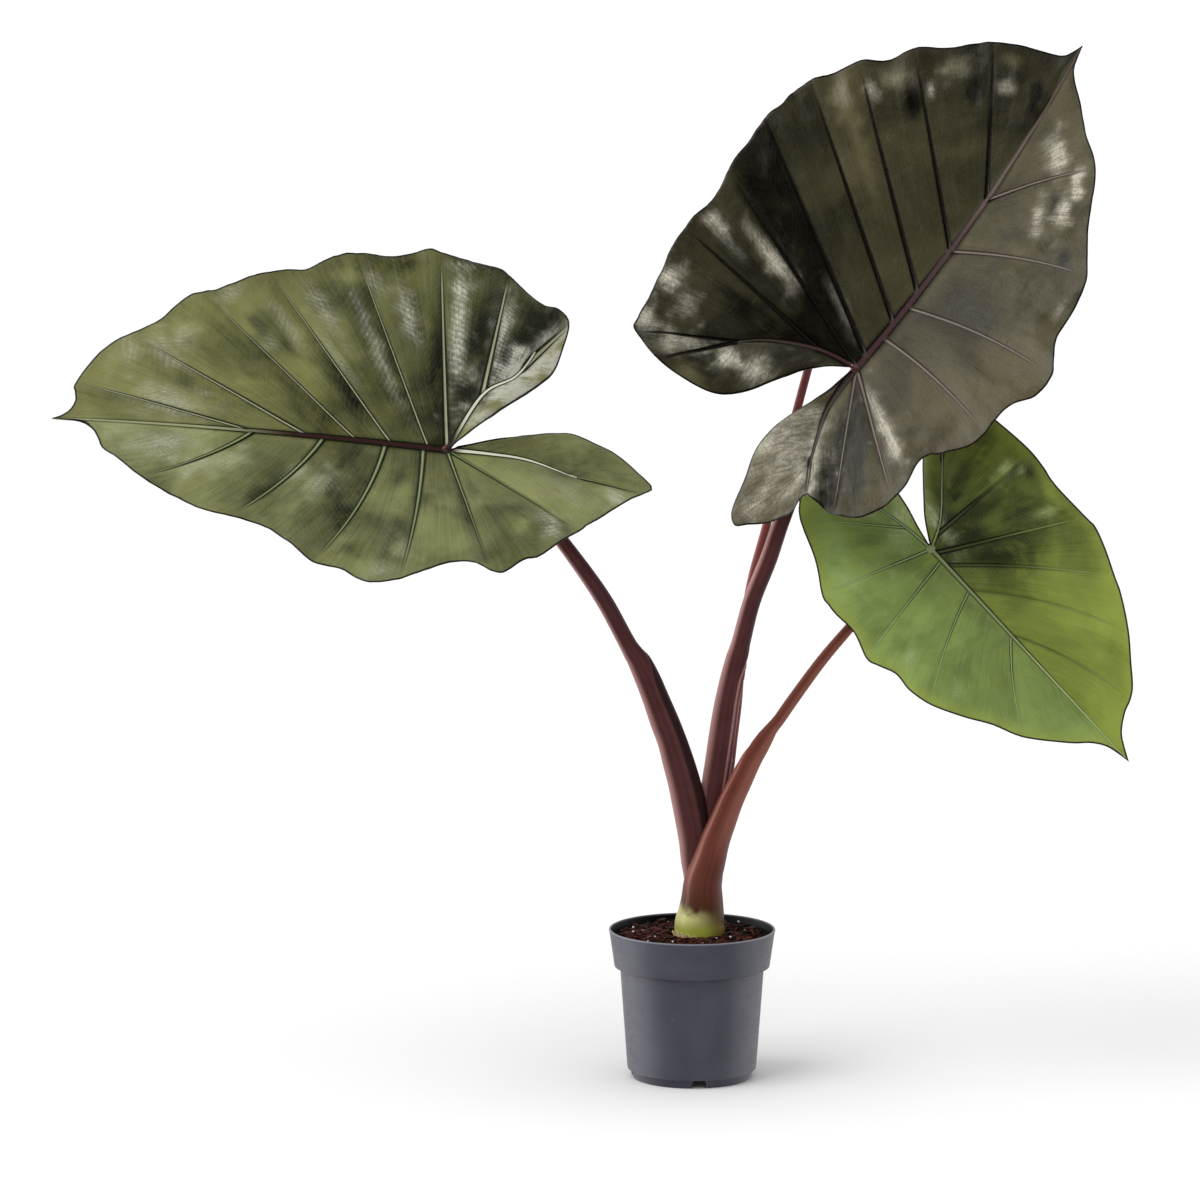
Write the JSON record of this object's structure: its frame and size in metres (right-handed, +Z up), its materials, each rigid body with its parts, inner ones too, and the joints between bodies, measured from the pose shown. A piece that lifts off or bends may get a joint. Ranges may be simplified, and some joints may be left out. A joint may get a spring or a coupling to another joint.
{
  "type": "potted metalhead alocasia",
  "caption": "Tall aroid house plant with large waved, veined arrowhead leaves on sheathed stalks, growing from a corm in soil in a plain round nursery pot.",
  "frame": {"origin": "centre of the pot's underside, on the surface the pot stands on", "axes": "+Z up, -Y towards the front of the plant, +X to the right seen from the front"},
  "size_m": [1.0757, 0.291, 1.0508],
  "materials": {
    "pot": "satin",
    "soil": "matte, crumbly bark and fibre mix",
    "corm": "matte",
    "papery_scrap": "matte",
    "stalk_dark": "satin",
    "stalk_red": "satin",
    "leaf_olive": "glossy",
    "leaf_dark": "metallic gloss",
    "leaf_green": "satin",
    "leaf_new": "satin"
  },
  "bodies": {
    "root": {"pot": "pot", "soil": "soil", "corm": "corm", "papery_scrap": "papery_scrap", "stalk_left": "stalk_dark", "stalk_top": "stalk_dark", "stalk_new": "stalk_red", "stalk_right": "stalk_red", "blade_left": "leaf_olive", "blade_top": "leaf_dark", "blade_right": "leaf_green", "blade_new": "leaf_new"}
  },
  "joints": []
}
